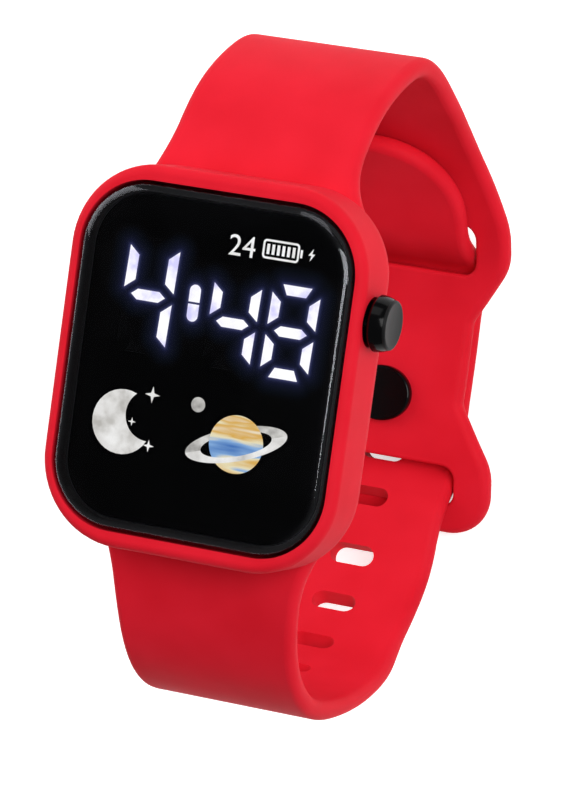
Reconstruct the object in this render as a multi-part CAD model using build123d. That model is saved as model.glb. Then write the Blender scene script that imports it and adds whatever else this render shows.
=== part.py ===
"""A square-faced LED watch with a one-piece silicone case and strap, closed on its stud.

The dial looks along +Z, 12 o'clock lies along +Y and the side button along +X.
The origin is the centre of the case back's outer face. All lengths are in millimetres.
"""
from build123d import *
import os

# Case of the silicone moulding
CASE_WIDTH = 36.3
CASE_LENGTH = 43.8
CASE_THICKNESS = 10.2
CASE_CORNER = 10.0
BEZEL_EDGE = 1.1
BACK_EDGE = 3.6
SIDE_WALL = 1.25
END_WALL = 1.85
BACK_LIP = 1.2
BACK_OPENING_INSET = 5.1
BACK_OPENING_CORNER = 5.5

# Strap section and its closed loop
STRAP_THICKNESS = 2.4
STRAP_EDGE = 1.05
ROOT_WIDTH = 23.1
ROOT_FLARE_WIDTH = 29.0
ROOT_FLARE_REACH = 4.6
ROOT_RISE = 0.1
ROOT_DROP_12 = 0.4
ROOT_DROP_6 = 0.3
TURN_OUT_12 = 14.4
TURN_OUT_6 = 18.05
LOOP_DEPTH = 50.1
LAYER_GAP = 0.3

# Lobed end of the stud strap
UPPER_LOBE_WIDTH = 29.2
LOWER_LOBE_WIDTH = 30.0
WAIST_WIDTH = 20.5
UPPER_LOBE_START = 13.0
UPPER_WAIST_END = 5.6
LOWER_LOBE_START = 12.4
LOWER_WAIST_END = 4.8
LOBE_BLEND_BEFORE_TURN = 8.3
LOBE_BLEND_RADIUS = 20.0
LOBE_TOP_RADIUS = 12.0
LOBE_CORNER = 6.5
WAIST_CORNER = 1.6
END_BAR_EDGE = 21.1
END_BAR_CORNER = 5.5
SLOT_WIDTH = 20.8
SLOT_CORNER = 1.7
LOWER_SLOT_NEAR = 12.6
LOWER_SLOT_FAR = 17.6
UPPER_SLOT_NEAR = 11.4
UPPER_SLOT_FAR = 17.6
SLOT_EDGE = 0.45
SLOT_CORNER_SHARE = 0.475
# How far the stud strap's middle line drops at the lower slot's two edges and past its end
LOWER_SLOT_NEAR_DROP = 0.6
LOWER_SLOT_FAR_DROP = 2.16
LINE_END_DROP = 4.2

# Hole strap
HOLE_STRAP_WIDTH = 20.2
TURN_WIDTH_6 = 22.0
TAPER_START_BEFORE_TURN = 2.8
TAPER_END_BEFORE_TURN = 6.0
TAPER_START_RADIUS = 8.0
TAPER_END_RADIUS = 10.0
HOLE_LENGTH = 5.7
HOLE_WIDTH = 2.6
HOLE_PITCH = 7.5
HOLES_BELOW_STUD = 6
HOLES_ABOVE_STUD = 2
TAIL_END = 26.7
TAIL_ROUND = 12.0
TAIL_CUTTER_DEPTH = 7.0
CROSSING_EASE = 0.5

# Stud
STUD_FROM_CENTRE = 4.74
STUD_BASE_HALF_WIDTH = 3.9
STUD_BASE_HALF_LENGTH = 3.45
STUD_BASE_THICKNESS = 1.0
STUD_POST_RADIUS = 1.1
STUD_POST_CLEARANCE = 0.1
STUD_HEAD_RADIUS = 3.0
STUD_HEAD_THICKNESS = 1.4
STUD_HEAD_GAP = 0.1
STUD_EDGE = 0.35
STUD_RIVET_RADIUS = 0.7

# Lens and what lies under it
LENS_PROUD = 0.7
LENS_THICKNESS = 2.0
LENS_EDGE = 1.7
LENS_CORNER = 7.9
FIT_GAP = 0.1
TAPE_THICKNESS = 0.2
TAPE_WIDTH = 1.1
FILM_THICKNESS = 0.2
FILM_GAP = 0.25
DIFFUSER_THICKNESS = 0.3

# Time display
SMALL_STROKE = 1.15
LARGE_STROKE = 1.22
# Corners of the bars, as shares of the stroke
BAR_SLANT_SHARE = 1.5
POST_SHARES = (0.9, 0.52, 1.32, 1.73)
MIDDLE_SHARES = (0.8, 1.43)
LARGE_DIGIT_WIDTH = 6.15
LARGE_DIGIT_HEIGHT = 13.1
SMALL_DIGIT_WIDTH = 5.8
SMALL_DIGIT_HEIGHT = 10.55
DIGIT_LEAN_SHARE = 0.033
LARGE_DIGIT_X = -8.18
LARGE_DIGIT_Y = 7.0
SMALL_DIGIT_X = (2.48, 9.58)
SMALL_DIGIT_Y = 5.5
COLON_X = -2.48
COLON_Y = 7.03
COLON_WIDTH = 1.35
COLON_LENGTH = 4.2
COLON_SPLIT = 0.25
ICON_Y = 14.3
ICON_HEIGHT = 2.3
ICON_CELLS = ((2.55, 3.6), (7.2, 4.7), (10.95, 1.3))
ART_CELLS = ((-9.2, -7.5, 8.6, 10.4), (3.3, -8.3, 15.4, 11.6))
ART_CORNER = 1.5

# Light box, board and lamps
LIGHT_BOX_HEIGHT = 3.0
LIGHT_BOX_EASE = 0.25
CELL_TAPER = 3.0
BOARD_THICKNESS = 0.8
BOARD_EASE = 0.35
LED_LENGTH = 1.2
LED_WIDTH = 0.6
LED_HEIGHT = 0.6

# Module housing
HOUSING_WALL = 1.2
HOUSING_FLOOR = 1.1
BOSS_RADIUS = 1.7
BOSS_X = 9.9
BOSS_Y = 13.7
PILOT_ROOF = 0.6
PILOT_RADIUS = 0.6
BATTERY_OPENING_EASE = 0.5

# Back cover, gasket and screws
COVER_EASE = 0.15
COVER_EDGE = 0.3
GASKET_MARGIN = 0.5
GASKET_WIDTH = 0.8
GASKET_DEPTH = 0.6
SCREW_HEAD_RADIUS = 1.1
SCREW_HEAD_HEIGHT = 0.5
SCREW_HEAD_SINK = 0.1
SCREW_RADIUS = 0.55
SCREW_EASE = 0.1
SCREW_CROSS_WIDTH = 0.3
SCREW_CROSS_DEPTH = 0.3
SCREW_CROSS_LENGTH = 1.32

# Coin cell and its contacts
CELL_RADIUS = 10.0
CELL_HEIGHT = 2.5
CELL_EDGE = 0.3
CELL_STEP = 1.1
CELL_STEP_HEIGHT = 0.25
CELL_Y = -3.0
PAD_THICKNESS = 0.4
PAD_RADIUS = 8.0
CONTACT_THICKNESS = 0.15
CONTACT_WIDTH = 2.4
CONTACT_FOOT = 2.2
CONTACT_REACH = 3.6
CLIP_SIDE_GAP = 0.4
CLIP_WIDTH = 4.0
CLIP_THICKNESS = 0.25
HOLDER_WALL = 1.0
HOLDER_EASE = 0.2
HOLDER_HEIGHT = 1.9
HOLDER_MOUTH = 5.0

# Side button and switch
BUTTON_Y = 8.0
BUTTON_Z = 6.5
BUTTON_PROUD = 2.65
BUTTON_FACE_RADIUS = 2.85
BUTTON_MAX_RADIUS = 3.25
BUTTON_ROOT_RADIUS = 2.5
BUTTON_SKIRT = 1.8
BUTTON_FACE_ROUND = 0.3
BUTTON_DISH = 0.15
DISH_MIDDLE_SHARE = 0.75
ROUND_MIDDLE_SHARE = 0.29
BUTTON_TRAVEL = 0.3
BUTTON_EASE = 0.35
BUTTON_BACK_GAP = 0.1
STEM_RADIUS = 0.9
STEM_EASE = 0.06
CLIP_RING_RADIUS = 1.3
CLIP_RING_THICKNESS = 0.3
CLIP_GROOVE = 0.3
CLIP_SPLIT = 0.9
STEM_TAIL = 0.15
SEAL_SECTION = 0.5
SEAL_SEAT = 0.7
SWITCH_DEPTH = 1.4
SWITCH_WIDTH = 4.2
SWITCH_HEIGHT = 2.1
PLUNGER_WIDTH = 1.8
PLUNGER_HEIGHT = 1.0
PLUNGER_PROUD = 0.4
PLUNGER_EASE = 0.06
PLUNGER_INSIDE = 0.5
TOUCH_GAP = 0.05

# Small electronic parts
CHIP_SIZE = (5.0, 4.0, 0.7)
CHIP_X = -5.2
CHIP_Y = 11.6
CRYSTAL_RADIUS = 0.75
CRYSTAL_LENGTH = 5.2
CRYSTAL_X = 1.5
CRYSTAL_Y = 11.2
PASSIVE_SIZE = (1.0, 0.5, 0.35)
PASSIVE_X = 5.2
PASSIVE_Y = 10.2
PASSIVE_PITCH = 1.5
PASSIVE_ROWS = 3
PASSIVE_COLUMNS = 2

# One overrun for every cut
CUT = 1.0

BAND_STEPS = 40
TAIL_STEPS = 4
HALVINGS = 30
FAR_PART_SHARE = 0.44
# Heights, as shares of the loop's depth, at which the straps turn back under the wrist
TURN_12_SHARE = 0.345
TURN_6_SHARE = 0.4
TAPER_END_SHARE = 0.9
# The hole strap lies this much further off the stud strap than one layer and its gap
OUTER_SLACK = 1.04
INNER_SLACK = 1.05
CROSSING_SLACK = 1.36

REACH_12 = CASE_LENGTH / 2 + TURN_OUT_12
REACH_6 = CASE_LENGTH / 2 + TURN_OUT_6
POCKET_WIDTH = CASE_WIDTH - 2 * SIDE_WALL
POCKET_LENGTH = CASE_LENGTH - 2 * END_WALL
POCKET_CORNER = LENS_CORNER + FIT_GAP
HOUSING_WIDTH = POCKET_WIDTH - 2 * FIT_GAP
HOUSING_LENGTH = POCKET_LENGTH - 2 * FIT_GAP
LENS_TOP = CASE_THICKNESS + LENS_PROUD
LENS_BOTTOM = LENS_TOP - LENS_THICKNESS
HOUSING_TOP = LENS_BOTTOM - TAPE_THICKNESS
HOUSING_INSIDE = HOUSING_WIDTH / 2 - HOUSING_WALL
DIFFUSER_BOTTOM = LENS_BOTTOM - FILM_THICKNESS - DIFFUSER_THICKNESS
BOARD_TOP = DIFFUSER_BOTTOM - LIGHT_BOX_HEIGHT
BOARD_BOTTOM = BOARD_TOP - BOARD_THICKNESS
FLOOR_TOP = BACK_LIP + HOUSING_FLOOR
CELL_BOTTOM = BACK_LIP + PAD_THICKNESS
CELL_TOP = CELL_BOTTOM + CELL_HEIGHT
BATTERY_OPENING_RADIUS = CELL_RADIUS + BATTERY_OPENING_EASE
OPENING_WIDTH = CASE_WIDTH - 2 * BACK_OPENING_INSET
OPENING_LENGTH = CASE_LENGTH - 2 * BACK_OPENING_INSET
POCKET_EDGE = BACK_EDGE - SIDE_WALL
CLIP_OUTER = HOUSING_INSIDE - TOUCH_GAP
STEM_END = CLIP_OUTER - CLIP_RING_THICKNESS - STEM_TAIL
PLUNGER_TIP = STEM_END - TOUCH_GAP
SWITCH_FACE = PLUNGER_TIP - PLUNGER_PROUD
SWITCH_BACK = SWITCH_FACE - SWITCH_DEPTH
ROOT_MID = STRAP_THICKNESS / 2 + ROOT_RISE
LAYER_STEP = STRAP_THICKNESS + LAYER_GAP
STUD_HEAD_TOP = -LOOP_DEPTH - STRAP_THICKNESS / 2 - LAYER_STEP - STUD_HEAD_GAP
BELOW_LOOP = -LOOP_DEPTH - 2 * LAYER_STEP - STRAP_THICKNESS
BAND_WIDTH = max(ROOT_FLARE_WIDTH, UPPER_LOBE_WIDTH, LOWER_LOBE_WIDTH) + 2 * CUT


def rounded_plate(width, length, corner, bottom, top):
    """A flat plate of rounded plan between two heights."""
    return Pos(0, 0, bottom) * extrude(RectangleRounded(width, length, corner), top - bottom)


def inner_corner(corner, inset):
    """The corner radius of an outline that lies inset inside another."""
    return max(corner - inset, inset / 2)


def in_yz(y, z):
    return Vector(0, y, z)


# Middle lines of the two straps

def stud_strap_line():
    """From the case at 12 o'clock round the loop's back to the end bar at 6 o'clock."""
    root = CASE_LENGTH / 2
    reach = REACH_12
    deep = -LOOP_DEPTH
    points = [
        in_yz(root - END_WALL - STRAP_THICKNESS, ROOT_MID),
        in_yz(root + ROOT_RISE, ROOT_MID - ROOT_DROP_12),
        in_yz(0.713 * reach, 0.025 * deep),
        in_yz(0.834 * reach, 0.098 * deep),
        in_yz(0.964 * reach, 0.254 * deep),
        in_yz(reach, TURN_12_SHARE * deep),
        in_yz(0.986 * reach, 0.437 * deep),
        in_yz(0.917 * reach, 0.553 * deep),
        in_yz(0.802 * reach, 0.702 * deep),
        in_yz(0.613 * reach, 0.856 * deep),
        in_yz(0.395 * reach, 0.952 * deep),
        in_yz(0.170 * reach, 0.994 * deep),
        in_yz(-STUD_FROM_CENTRE, deep),
        in_yz(-LOWER_SLOT_NEAR, deep - LOWER_SLOT_NEAR_DROP),
        in_yz(-LOWER_SLOT_FAR, deep - LOWER_SLOT_FAR_DROP),
        in_yz(-END_BAR_EDGE - STRAP_THICKNESS, deep - LINE_END_DROP),
    ]
    return Spline(points)


def place_at(line, distance):
    return line.position_at(distance, position_mode=PositionMode.LENGTH)


def heading_at(line, distance):
    return line.tangent_at(distance, position_mode=PositionMode.LENGTH)


def distance_at_y(line, y, low, high):
    """How far along a line it passes y, between two distances, found by halving."""
    rising = place_at(line, high).Y > place_at(line, low).Y
    for _ in range(HALVINGS):
        middle = (low + high) / 2
        if (place_at(line, middle).Y < y) == rising:
            low = middle
        else:
            high = middle
    return (low + high) / 2


def beside(line, y, offset):
    """A point at an offset inwards, towards the wrist, from the stud strap's far part."""
    distance = distance_at_y(line, y, line.length * FAR_PART_SHARE, line.length)
    along = heading_at(line, distance)
    return place_at(line, distance) + in_yz(along.Z, -along.Y) * offset


def hole_strap_line(stud_line):
    """From the case at 6 o'clock, inside the end bar, over the waist and in to the tail."""
    root = CASE_LENGTH / 2
    reach = REACH_6
    deep = -LOOP_DEPTH
    step = LAYER_STEP
    points = [
        in_yz(-(root - END_WALL - STRAP_THICKNESS), ROOT_MID),
        in_yz(-(root + ROOT_RISE), ROOT_MID - ROOT_DROP_6),
        in_yz(-0.720 * reach, 0.020 * deep),
        in_yz(-0.850 * reach, 0.082 * deep),
        in_yz(-0.975 * reach, 0.226 * deep),
        in_yz(-reach, TURN_6_SHARE * deep),
        in_yz(-0.962 * reach, 0.620 * deep),
        in_yz(-0.890 * reach, 0.752 * deep),
        in_yz(-0.770 * reach, 0.865 * deep),
        in_yz(-0.620 * reach, 0.945 * deep),
        beside(stud_line, -LOWER_SLOT_FAR, step * CROSSING_SLACK),
        beside(stud_line, -LOWER_SLOT_NEAR, -step),
        beside(stud_line, -LOWER_SLOT_NEAR + STRAP_THICKNESS, -step * OUTER_SLACK),
        beside(stud_line, -STUD_FROM_CENTRE, -step),
        beside(stud_line, 0, -step),
        beside(stud_line, UPPER_SLOT_NEAR / 2, -step * OUTER_SLACK),
        beside(stud_line, UPPER_SLOT_NEAR - CROSSING_EASE, -step * OUTER_SLACK),
        beside(stud_line, UPPER_SLOT_FAR, step),
    ]
    for i in range(TAIL_STEPS):
        y = UPPER_SLOT_FAR + (TAIL_END - UPPER_SLOT_FAR) * (i + 1) / TAIL_STEPS
        points.append(beside(stud_line, y, step * INNER_SLACK))
    points.append(beside(stud_line, TAIL_END + 2 * STRAP_THICKNESS, step * INNER_SLACK))
    return Spline(points)


# Silicone moulding

def band(line, thickness, width):
    """A strip of even thickness along a middle line that lies in the YZ plane."""
    sides = []
    for side in (1, -1):
        points = []
        for i in range(BAND_STEPS + 1):
            distance = line.length * i / BAND_STEPS
            along = heading_at(line, distance)
            across = in_yz(-along.Z, along.Y) * (side * thickness / 2)
            points.append(place_at(line, distance) + across)
        sides.append(Spline(points))
    outer, inner = sides
    ends = [Line(outer @ 0, inner @ 0), Line(outer @ 1, inner @ 1)]
    profile = make_face([outer, ends[1], inner, ends[0]])
    return extrude(Pos(-width / 2, 0) * profile, amount=width, dir=(1, 0, 0))


def mirrored_outline(right_side):
    """A face from the +X half of an outline whose two ends lie on X = 0."""
    left_side = mirror(right_side, about=Plane.YZ)
    return make_face([*right_side.edges(), *left_side.edges()])


def flared_plan(side, half_width, far_half_width, reach):
    """Plan of a strap's near part, which widens in a hollow curve where it meets the case."""
    start = side * (CASE_LENGTH / 2 - END_WALL - STRAP_THICKNESS - CUT)
    wide = side * (CASE_LENGTH / 2 - BACK_EDGE)
    narrow = side * (CASE_LENGTH / 2 + ROOT_FLARE_REACH)
    taper_end = side * reach * TAPER_END_SHARE
    end = side * (reach + STRAP_THICKNESS)
    corner = (ROOT_FLARE_WIDTH / 2, wide)
    if far_half_width < half_width:
        taper = TangentArc((far_half_width, taper_end), (half_width, narrow), tangent=(0, -side))
    else:
        taper = Line((far_half_width, taper_end), (half_width, narrow))
    right_side = Wire([
        Line((0, start), (ROOT_FLARE_WIDTH / 2, start)),
        Line((ROOT_FLARE_WIDTH / 2, start), corner),
        TangentArc((half_width, narrow), corner, tangent=taper % 1),
        taper,
        Line((far_half_width, taper_end), (far_half_width, end)),
        Line((far_half_width, end), (0, end)),
    ])
    return mirrored_outline(right_side)


def lobed_plan():
    """Plan of the stud strap's far part: straight, lobe, waist, lobe, rounded end."""
    root = ROOT_WIDTH / 2
    upper = UPPER_LOBE_WIDTH / 2
    lower = LOWER_LOBE_WIDTH / 2
    waist = WAIST_WIDTH / 2
    far = REACH_12 + STRAP_THICKNESS
    turns = [
        ((root, far), STRAP_EDGE),
        ((root, REACH_12 - LOBE_BLEND_BEFORE_TURN), LOBE_BLEND_RADIUS),
        ((upper, UPPER_SLOT_FAR), LOBE_TOP_RADIUS),
        ((upper, UPPER_LOBE_START), LOBE_CORNER),
        ((waist, UPPER_WAIST_END), WAIST_CORNER),
        ((waist, -LOWER_WAIST_END), WAIST_CORNER),
        ((lower, -LOWER_LOBE_START), LOBE_CORNER),
        ((lower, -END_BAR_EDGE), END_BAR_CORNER),
    ]
    corners = [(0, far), *[corner for corner, _ in turns], (0, -END_BAR_EDGE)]
    outline = FilletPolyline(*corners, radius=[radius for _, radius in turns])
    return mirrored_outline(outline)


def narrowing_plan():
    """Plan of the hole strap's far part, which draws in a little after the turn."""
    wide = TURN_WIDTH_6 / 2
    narrow = HOLE_STRAP_WIDTH / 2
    far = REACH_6 + STRAP_THICKNESS
    turns = [
        ((wide, -far), STRAP_EDGE),
        ((wide, TAPER_START_BEFORE_TURN - REACH_6), TAPER_START_RADIUS),
        ((narrow, TAPER_END_BEFORE_TURN - REACH_6), TAPER_END_RADIUS),
        ((narrow, far), STRAP_EDGE),
    ]
    corners = [(0, -far), *[corner for corner, _ in turns], (0, far)]
    outline = FilletPolyline(*corners, radius=[radius for _, radius in turns])
    return mirrored_outline(outline)


def square_to(line, distance):
    """The plane that lies in a strap's middle surface, with its Y along the strap."""
    along = heading_at(line, distance)
    return Plane(place_at(line, distance), x_dir=(1, 0, 0), z_dir=in_yz(-along.Z, along.Y))


def tail_cutter(line):
    """What is cut from round the hole strap's tail to leave a half ellipse, square to the strap."""
    end = distance_at_y(line, TAIL_END, line.length * FAR_PART_SHARE, line.length)
    keep = Pos(0, -TAIL_ROUND) * Ellipse(HOLE_STRAP_WIDTH / 2, TAIL_ROUND)
    waste = Rectangle(BAND_WIDTH, 2 * TAIL_ROUND) - keep
    return extrude(square_to(line, end) * waste, TAIL_CUTTER_DEPTH, both=True)


def prism(face, bottom, top):
    return Pos(0, 0, bottom) * extrude(face, top - bottom)


def slot_cutter(low, high, bottom):
    """A rounded slot through the far part of the loop."""
    corner = min(SLOT_CORNER, (high - low) * SLOT_CORNER_SHARE)
    outline = RectangleRounded(SLOT_WIDTH, high - low, corner)
    return prism(Pos(0, (low + high) / 2) * outline, bottom, bottom + LOOP_DEPTH)


def outline_edges(strap, side):
    """The strap's long edges, not those inside the case or through the thickness."""
    chosen = []
    for edge in strap.edges():
        through = edge.bounding_box().size.X < FIT_GAP and edge.length < STRAP_THICKNESS + FIT_GAP
        centre = edge.center()
        in_case = centre.Z > -STRAP_THICKNESS and side * centre.Y < CASE_LENGTH / 2 - STRAP_THICKNESS
        if not through and not in_case:
            chosen.append(edge)
    return chosen


def planned_strap(line, near, far, turn):
    """A band cut to its near and far plans, which meet at the height where it turns back."""
    plan = prism(near, turn, CASE_THICKNESS) + prism(far, BELOW_LOOP, turn)
    return band(line, STRAP_THICKNESS, BAND_WIDTH) & plan


def cut_and_round(strap, cutter, radius):
    """Cuts openings and rounds their rims, which are the edges that the cut makes."""
    opened = strap - cutter
    rims = [e for e in new_edges(strap, combined=opened) if e.bounding_box().size.X > FIT_GAP
            or e.bounding_box().size.Y > FIT_GAP]
    return fillet(rims, radius)


def stud_strap(line):
    root = ROOT_WIDTH / 2
    near = flared_plan(1, root, root, REACH_12)
    strap = planned_strap(line, near, lobed_plan(), -LOOP_DEPTH * TURN_12_SHARE)
    strap = fillet(outline_edges(strap, 1), STRAP_EDGE)
    slots = slot_cutter(-LOWER_SLOT_FAR, -LOWER_SLOT_NEAR, BELOW_LOOP)
    slots += slot_cutter(UPPER_SLOT_NEAR, UPPER_SLOT_FAR, BELOW_LOOP)
    strap = cut_and_round(strap, slots, SLOT_EDGE)
    stud = Circle(STUD_POST_RADIUS + STUD_POST_CLEARANCE)
    return strap - prism(Pos(0, -STUD_FROM_CENTRE) * stud, BELOW_LOOP, -LOOP_DEPTH / 2)


def strap_hole(line, distance):
    """One obround hole, cut square to the strap at a distance along its middle line."""
    hole = square_to(line, distance) * SlotOverall(HOLE_LENGTH, HOLE_WIDTH)
    return extrude(hole, STRAP_THICKNESS, both=True)


def hole_strap(line):
    root = ROOT_WIDTH / 2
    near = flared_plan(-1, root, TURN_WIDTH_6 / 2, REACH_6)
    strap = planned_strap(line, near, narrowing_plan(), -LOOP_DEPTH * TURN_6_SHARE)
    strap = fillet(outline_edges(strap - tail_cutter(line), -1), STRAP_EDGE)
    at_stud = distance_at_y(line, -STUD_FROM_CENTRE, line.length * FAR_PART_SHARE, line.length)
    for count in range(-HOLES_BELOW_STUD, HOLES_ABOVE_STUD + 1):
        strap -= strap_hole(line, at_stud + count * HOLE_PITCH)
    return strap


def case_block():
    """The case's outside: a small round round the bezel and a large one round the back."""
    block = rounded_plate(CASE_WIDTH, CASE_LENGTH, CASE_CORNER, 0, CASE_THICKNESS)
    block = fillet(block.edges().group_by(Axis.Z)[-1], BEZEL_EDGE)
    return fillet(block.edges().group_by(Axis.Z)[0], BACK_EDGE)


def case_pocket():
    """What the module fills, and the opening in the lip that holds it from behind."""
    hollow = rounded_plate(
        POCKET_WIDTH, POCKET_LENGTH, POCKET_CORNER, BACK_LIP, CASE_THICKNESS + CUT
    )
    hollow = fillet(hollow.edges().group_by(Axis.Z)[0], POCKET_EDGE)
    opening = rounded_plate(OPENING_WIDTH, OPENING_LENGTH, BACK_OPENING_CORNER, -CUT, BACK_LIP + CUT)
    return hollow + opening


def along_x(radius, start, end):
    """A cylinder on the side button's axis between two places along X."""
    plane = Plane((start, BUTTON_Y, BUTTON_Z), x_dir=(0, 1, 0), z_dir=(1, 0, 0))
    return extrude(plane * Circle(radius), end - start)


def silicone_case_strap(stud_line, hole_line):
    moulding = case_block() + stud_strap(stud_line) + hole_strap(hole_line)
    button_hole = along_x(BUTTON_ROOT_RADIUS + BUTTON_EASE, POCKET_WIDTH / 2 - CUT, CASE_WIDTH)
    return moulding - case_pocket() - button_hole


# Stud: a base inside the waist, riveted through both straps to a head outside

def stud_base():
    top = -LOOP_DEPTH + STRAP_THICKNESS / 2 + STUD_BASE_THICKNESS + TOUCH_GAP
    oval = Ellipse(STUD_BASE_HALF_WIDTH, STUD_BASE_HALF_LENGTH)
    disc = prism(oval, top - STUD_BASE_THICKNESS, top)
    disc = fillet(disc.edges().group_by(Axis.Z)[-1], STUD_EDGE)
    post = prism(Circle(STUD_POST_RADIUS), STUD_HEAD_TOP, top - STUD_BASE_THICKNESS)
    rivet = prism(Circle(STUD_RIVET_RADIUS), STUD_HEAD_TOP - STUD_HEAD_THICKNESS, STUD_HEAD_TOP)
    return Pos(0, -STUD_FROM_CENTRE) * (disc + post + rivet)


def stud_head():
    head = prism(Circle(STUD_HEAD_RADIUS), STUD_HEAD_TOP - STUD_HEAD_THICKNESS, STUD_HEAD_TOP)
    head = fillet(head.edges(), STUD_EDGE)
    bore = Circle(STUD_RIVET_RADIUS)
    head -= prism(bore, STUD_HEAD_TOP - STUD_HEAD_THICKNESS - CUT, STUD_HEAD_TOP + CUT)
    return Pos(0, -STUD_FROM_CENTRE) * head


# Lens, tape, printed film and diffuser

def lens():
    cap = rounded_plate(HOUSING_WIDTH, HOUSING_LENGTH, LENS_CORNER, LENS_BOTTOM, LENS_TOP)
    return fillet(cap.edges().group_by(Axis.Z)[-1], LENS_EDGE)


def lens_tape():
    inside = 2 * TAPE_WIDTH
    corner = inner_corner(LENS_CORNER, TAPE_WIDTH)
    ring = RectangleRounded(HOUSING_WIDTH, HOUSING_LENGTH, LENS_CORNER)
    ring -= RectangleRounded(HOUSING_WIDTH - inside, HOUSING_LENGTH - inside, corner)
    return prism(ring, HOUSING_TOP, LENS_BOTTOM)


def window_faces():
    """Every opening of the time display: three digits and the split colon between them."""
    large = digit_segments(LARGE_DIGIT_WIDTH, LARGE_DIGIT_HEIGHT, LARGE_STROKE)
    small = digit_segments(SMALL_DIGIT_WIDTH, SMALL_DIGIT_HEIGHT, SMALL_STROKE)
    faces = [Pos(LARGE_DIGIT_X, LARGE_DIGIT_Y) * face for face in large]
    for x in SMALL_DIGIT_X:
        faces += [Pos(x, SMALL_DIGIT_Y) * face for face in small]
    return faces + colon_halves()


def digit_segments(width, height, stroke):
    """The seven bars of one digit, centred on it, with ends cut at an angle."""
    side = width / 2
    top = height / 2
    slant = stroke * BAR_SLANT_SHARE
    low = top - stroke
    bar = [(side - stroke, top), (side - slant, low), (slant - side, low), (stroke - side, top)]
    outer_top, outer_low, inner_low, inner_top = [stroke * share for share in POST_SHARES]
    inside = side - stroke
    post = [(side, top - outer_top), (side, outer_low), (inside, inner_low), (inside, top - inner_top)]
    tip, shoulder = [side - stroke * share for share in MIDDLE_SHARES]
    half = stroke / 2
    middle = [(tip, 0), (shoulder, -half), (-shoulder, -half)]
    middle += [(-x, -y) for x, y in middle]
    shapes = [middle]
    for up in (1, -1):
        shapes.append([(x, up * y) for x, y in bar])
        for right in (1, -1):
            shapes.append([(right * x, up * y) for x, y in post])
    leant = [[(x + y * DIGIT_LEAN_SHARE, y) for x, y in shape] for shape in shapes]
    return [make_face(Polyline(*shape, close=True)) for shape in leant]


def colon_halves():
    capsule = SlotOverall(COLON_LENGTH, COLON_WIDTH, rotation=90)
    split = Rectangle(COLON_WIDTH + CUT, COLON_SPLIT)
    halves = Pos(COLON_X, COLON_Y) * (capsule - split)
    return list(halves.faces())


def film_plan():
    inset = TAPE_WIDTH + FILM_GAP
    corner = inner_corner(LENS_CORNER, inset)
    return RectangleRounded(HOUSING_WIDTH - 2 * inset, HOUSING_LENGTH - 2 * inset, corner)


def mask_film():
    film = prism(film_plan(), LENS_BOTTOM - FILM_THICKNESS, LENS_BOTTOM)
    for face in window_faces():
        film -= prism(face, LENS_BOTTOM - FILM_THICKNESS - CUT, LENS_BOTTOM + CUT)
    return film


def diffuser_sheet():
    return prism(film_plan(), DIFFUSER_BOTTOM, DIFFUSER_BOTTOM + DIFFUSER_THICKNESS)


# Light box: one tapering cell above each lamp

def cell_faces():
    cells = window_faces()
    for x, width in ICON_CELLS:
        cells.append(Pos(x, ICON_Y) * Rectangle(width, ICON_HEIGHT))
    for x, y, width, length in ART_CELLS:
        cells.append(Pos(x, y) * RectangleRounded(width, length, ART_CORNER))
    return cells


def light_box():
    plan = board_plan(LIGHT_BOX_EASE)
    box = prism(plan, BOARD_TOP, DIFFUSER_BOTTOM)
    for face in cell_faces():
        box -= extrude(
            Pos(0, 0, DIFFUSER_BOTTOM) * face, LIGHT_BOX_HEIGHT + CUT / 2,
            dir=(0, 0, -1), taper=CELL_TAPER,
        )
    half = SWITCH_WIDTH / 2 + LIGHT_BOX_EASE
    box -= corner_box(
        (SWITCH_BACK - FIT_GAP, BUTTON_Y - half, BOARD_TOP - CUT),
        (HOUSING_WIDTH, BUTTON_Y + half, BOARD_TOP + SWITCH_HEIGHT + FIT_GAP),
    )
    return box - corner_box(
        (SWITCH_FACE, BUTTON_Y - half, BOARD_TOP - CUT),
        (HOUSING_WIDTH, BUTTON_Y + half, DIFFUSER_BOTTOM + CUT),
    )


def corner_box(low, high):
    """A box between two opposite corners."""
    size = [b - a for a, b in zip(low, high)]
    return Pos(*low) * Box(*size, align=(Align.MIN, Align.MIN, Align.MIN))


def board_plan(ease):
    """The housing's inside, drawn in by an ease."""
    inset = HOUSING_WALL + ease
    corner = inner_corner(LENS_CORNER, inset)
    return RectangleRounded(HOUSING_WIDTH - 2 * inset, HOUSING_LENGTH - 2 * inset, corner)


def circuit_board():
    board = prism(board_plan(BOARD_EASE), BOARD_BOTTOM, BOARD_TOP)
    half = CLIP_RING_RADIUS + LIGHT_BOX_EASE
    return board - corner_box(
        (SWITCH_FACE + FIT_GAP, BUTTON_Y - half, BOARD_BOTTOM - CUT),
        (HOUSING_WIDTH, BUTTON_Y + half, BOARD_TOP + CUT),
    )


def led_chips():
    """One lamp on the board under each cell, along its longer side, two under each picture."""
    chips = []
    for face in cell_faces():
        size = face.bounding_box().size
        centre = face.center()
        upright = size.Y > size.X
        spread = LED_LENGTH if min(size.X, size.Y) > 2 * LED_LENGTH else 0
        for side in ((1, -1) if spread else (0,)):
            width, length = (LED_WIDTH, LED_LENGTH) if upright else (LED_LENGTH, LED_WIDTH)
            chip = Pos(centre.X + side * spread, centre.Y) * Rectangle(width, length)
            chips.append(prism(chip, BOARD_TOP, BOARD_TOP + LED_HEIGHT))
    return Compound(chips)


def under_board(sketch, height):
    """A small part soldered under the board."""
    return prism(sketch, BOARD_BOTTOM - height, BOARD_BOTTOM)


def controller_chip():
    width, length, height = CHIP_SIZE
    return under_board(Pos(CHIP_X, CHIP_Y) * Rectangle(width, length), height)


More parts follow.
